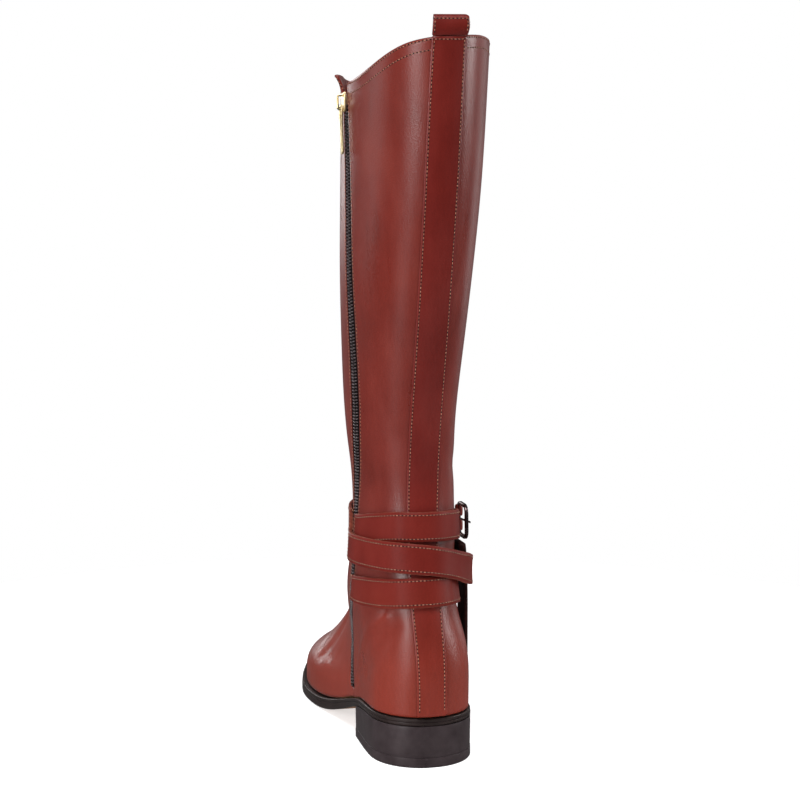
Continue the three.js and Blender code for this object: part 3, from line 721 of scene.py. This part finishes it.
def folded_wrap():
    """The front strap's end, folded round the buckle's front bar on both sides of the prong."""
    low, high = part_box("buckle_frame")
    middle = (low[2] + high[2]) / 2
    buckle = joined_mesh("buckle_frame")
    front = [v.co for v in buckle.verts if v.co.y > high[1] - BAR_WIDE]
    bar = [spot for spot in front if abs(spot.z - middle) < BAR_REACH]
    centre = sum(bar, Vector()) / len(bar)
    buckle.free()
    bm = bmesh.new()
    turns = [math.tau * k / WRAP["sides"] for k in range(WRAP["sides"])]
    for up in (-1, 1):
        rings = []
        for share, size in WRAP_ENDS:
            reach = WRAP["radius"] * size
            z = middle + up * (WRAP["gap"] + share * WRAP["long"])
            spots = [(centre.x + reach * math.cos(a), centre.y + reach * math.sin(a), z) for a in turns]
            rings.append([bm.verts.new(spot) for spot in spots])
        for one, two in zip(rings, rings[1:]):
            for k in range(WRAP["sides"]):
                bm.faces.new((one[k], one[k - 1], two[k - 1], two[k]))
        bm.faces.new(rings[0])
        bm.faces.new(rings[-1])
    bmesh.ops.recalc_face_normals(bm, faces=bm.faces)
    return softened(to_object(bm, "buckle_leather_wrap", UPPER_LEATHER), 1)


wrap = folded_wrap()
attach(wrap, "boot")

# ---------------------------------------------------------------------------------------------
# The sole: a leather outsole, a stacked leather heel with a rubber top lift, and a welt sewn round
# the forefoot. Their edges are inked black and polished, so they carry soft grey reflections.
# ---------------------------------------------------------------------------------------------


def inked_edge(name, dark, light, layer):
    """Sole leather's edge, inked and burnished: satin, cloudy every 14 mm, with the faint lines of
    its layers. The rubber top lift is dressed with the same ink."""
    made, tree, shader, place = material(name)
    worn = add(
        tree, "ShaderNodeTexNoise", Vector=place, Scale=1 / (14.3 * MM), Detail=5, Roughness=0.6
    ).outputs["Fac"]
    coloured(tree, shader, worn, (0.35, dark), (0.75, light))
    flat = {"bands_direction": "Z"}
    lines = add(
        tree, "ShaderNodeTexWave", flat, Vector=place, Scale=bands(layer), Distortion=0.3
    ).outputs["Fac"]
    sum_of = {"operation": "MULTIPLY_ADD"}
    both = add(tree, "ShaderNodeMath", sum_of, i0=worn, i1=0.6, i2=lines).outputs[0]
    raised(tree, shader, both, 0.25)
    dulled(tree, shader, worn, 0.28, 0.42)
    shader.inputs["Specular IOR Level"].default_value = 0.2
    return made


SOLE = inked_edge("inked black sole edge", "#201817", "#2f2524", 7.85 * MM)
HEEL = inked_edge("inked stacked heel", "#2a2224", "#3a3133", 5.236 * MM)


def sole_leather():
    """Oak-bark tanned sole leather, scoured and brushed: tan and matt, with scuffs 29 mm across."""
    made, tree, shader, place = material("tan sole leather")
    scuffs = add(
        tree, "ShaderNodeTexNoise", Vector=place, Scale=1 / (28.57 * MM), Detail=6, Roughness=0.65
    ).outputs["Fac"]
    coloured(tree, shader, scuffs, (0.3, "#5d3b28"), (0.7, "#87603f"))
    raised(tree, shader, scuffs, 0.3)
    shader.inputs["Roughness"].default_value = 0.65
    return made


UNDERSIDE = sole_leather()

PRESSED = 0.16 * MM  # the layers are cemented and pressed, so their joints nearly close
HEEL_BREAST = 30 * MM  # the heel covers the outsole behind this


def left_bare(node, face):
    """Whether a face is the outsole's underside in front of the heel, which isn't inked."""
    return node == "outsole" and face.normal.z < -0.9 and face.calc_center_median().y > HEEL_BREAST


for node, name, finish, round_edge in (
    ("welt", "sewn_welt", SOLE, 0.3 * MM),
    ("outsole", "leather_outsole", SOLE, 0.14 * MM),
    ("heel_block", "stacked_heel", HEEL, 0.08 * MM),
    ("top_lift", "rubber_top_lift", HEEL, 0.08 * MM),
):
    bm = joined_mesh(node)
    kept_sharp(bm, 28, 1.0)
    for face in bm.faces:
        face.material_index = 1 if left_bare(node, face) else 0
    piece = softened(to_object(bm, name, finish, UNDERSIDE), 2)
    for vertex in piece.data.vertices:
        vertex.co += vertex.normal * PRESSED
        vertex.co.z = max(vertex.co.z, 0)
    with_modifier(
        piece, "BEVEL", width=round_edge, segments=3, limit_method="ANGLE", angle_limit=math.radians(35)
    )
    piece.data.set_sharp_from_angle(angle=math.radians(40))
    takes_place_of(piece, node)

welt_top = tree_of(bpy.data.objects["sewn_welt"])


def shows(spot):
    """Whether nothing of the upper lies over a spot on the welt."""
    return upper_wall.ray_cast(spot + Vector((0, 0, 0.3 * MM)), Vector((0, 0, 1)), 60 * MM)[0] is None


sewn(
    "welt_stitches",
    seam_lines("welt", 1.1 * MM, lambda face: face.normal.z > 0.7),
    welt_top,
    shows,
    WELT_THREAD,
)

# ---------------------------------------------------------------------------------------------
# The insole: a fibre board under a thin leather sock, seen down inside the shaft.
# ---------------------------------------------------------------------------------------------

insole = joined_mesh("insole")
kept_sharp(insole, 45)
insole = softened(to_object(insole, "insole_sock", LINING), 1)
takes_place_of(insole, "insole")

# ---------------------------------------------------------------------------------------------
# The studio: a pale floor with no horizon, tall soft boxes on both sides that draw the upright
# highlights beside the stay, dim ones that catch the edges, a broad light overhead, and the camera.
# ---------------------------------------------------------------------------------------------


def floor_paint():
    """White studio acrylic, lit from below, so that it takes only a faint shadow."""
    made, tree, shader, place = material("lit white studio floor")
    dust = add(tree, "ShaderNodeTexNoise", Vector=place, Scale=1 / (333 * MM), Detail=3)
    coloured(tree, shader, dust.outputs["Fac"], (0.3, "#e8e8e8"), (0.7, "#ececec"))
    shader.inputs["Roughness"].default_value = 0.6
    shader.inputs["Emission Color"].default_value = (1, 1, 1, 1)
    shader.inputs["Emission Strength"].default_value = 0.6
    return made


FLOOR_REACH = 0.5
FLOOR_MIDDLE = (0, 0.1, 0)

disc = bmesh.new()
bmesh.ops.create_circle(disc, cap_ends=True, segments=96, radius=FLOOR_REACH)
bmesh.ops.translate(disc, verts=disc.verts, vec=FLOOR_MIDDLE)
floor = to_object(disc, "studio_floor", floor_paint())
floor.visible_glossy = False  # the polished leather doesn't mirror the lit floor

ROOM_LIGHT = 0.12  # the room is dim round the boot and white where the camera sees it

world = bpy.data.worlds.new("studio")
world.use_nodes = True
sky = world.node_tree
seen = add(sky, "ShaderNodeLightPath").outputs["Is Camera Ray"]
level = add(sky, "ShaderNodeMapRange", Value=seen, To_Min=ROOM_LIGHT, To_Max=1.0)
sky.nodes["Background"].inputs["Color"].default_value = (1, 1, 1, 1)
sky.links.new(level.outputs["Result"], sky.nodes["Background"].inputs["Strength"])
bpy.context.scene.world = world
bpy.context.scene.view_settings.view_transform = "Standard"

AIM = Vector((0, 0.04, 0.22))


def soft_box(name, place, size, power):
    """A rectangular soft light of a width, a height and a power in watts, turned to the boot."""
    light = bpy.data.lights.new(name, "AREA")
    light.shape = "RECTANGLE"
    light.size, light.size_y = size
    light.energy = power
    made = bpy.data.objects.new(name, light)
    made.location = place
    made.rotation_euler = (AIM - Vector(place)).to_track_quat("-Z", "Y").to_euler()
    bpy.context.scene.collection.objects.link(made)


soft_box("left_box", (-1.62, -1.0, 0.65), (0.26, 1.2), 24)
soft_box("right_box", (1.85, -0.1, 0.75), (0.5, 1.1), 24)
soft_box("left_rim", (-0.45, 1.7, 0.82), (0.4, 1.3), 9)
soft_box("left_fill", (-1.5, 0.85, 0.65), (0.5, 1.1), 4)
soft_box("left_low", (-0.43, -0.22, 0.04), (0.05, 0.2), 0.13)
soft_box("right_rim", (1.4, 1.2, 0.6), (0.4, 1.5), 2)
soft_box("top_box", (-0.3, -1.0, 2.0), (1.0, 1.0), 38)

EYE = Vector((-0.3882, -1.4489, 0.43))
LENS = 113.48  # millimetres, on a 36 mm sensor
LOOK_DOWN = math.radians(8.03)
TURN = math.radians(-14.47)  # from straight behind, toward the inner side

lens = bpy.data.cameras.new("camera")
lens.sensor_width = 36
lens.lens = LENS
camera = bpy.data.objects.new("camera", lens)
camera.location = EYE
camera.rotation_euler = (math.pi / 2 - LOOK_DOWN, 0, TURN)
bpy.context.scene.collection.objects.link(camera)
bpy.context.scene.camera = camera

bpy.context.view_layer.update()
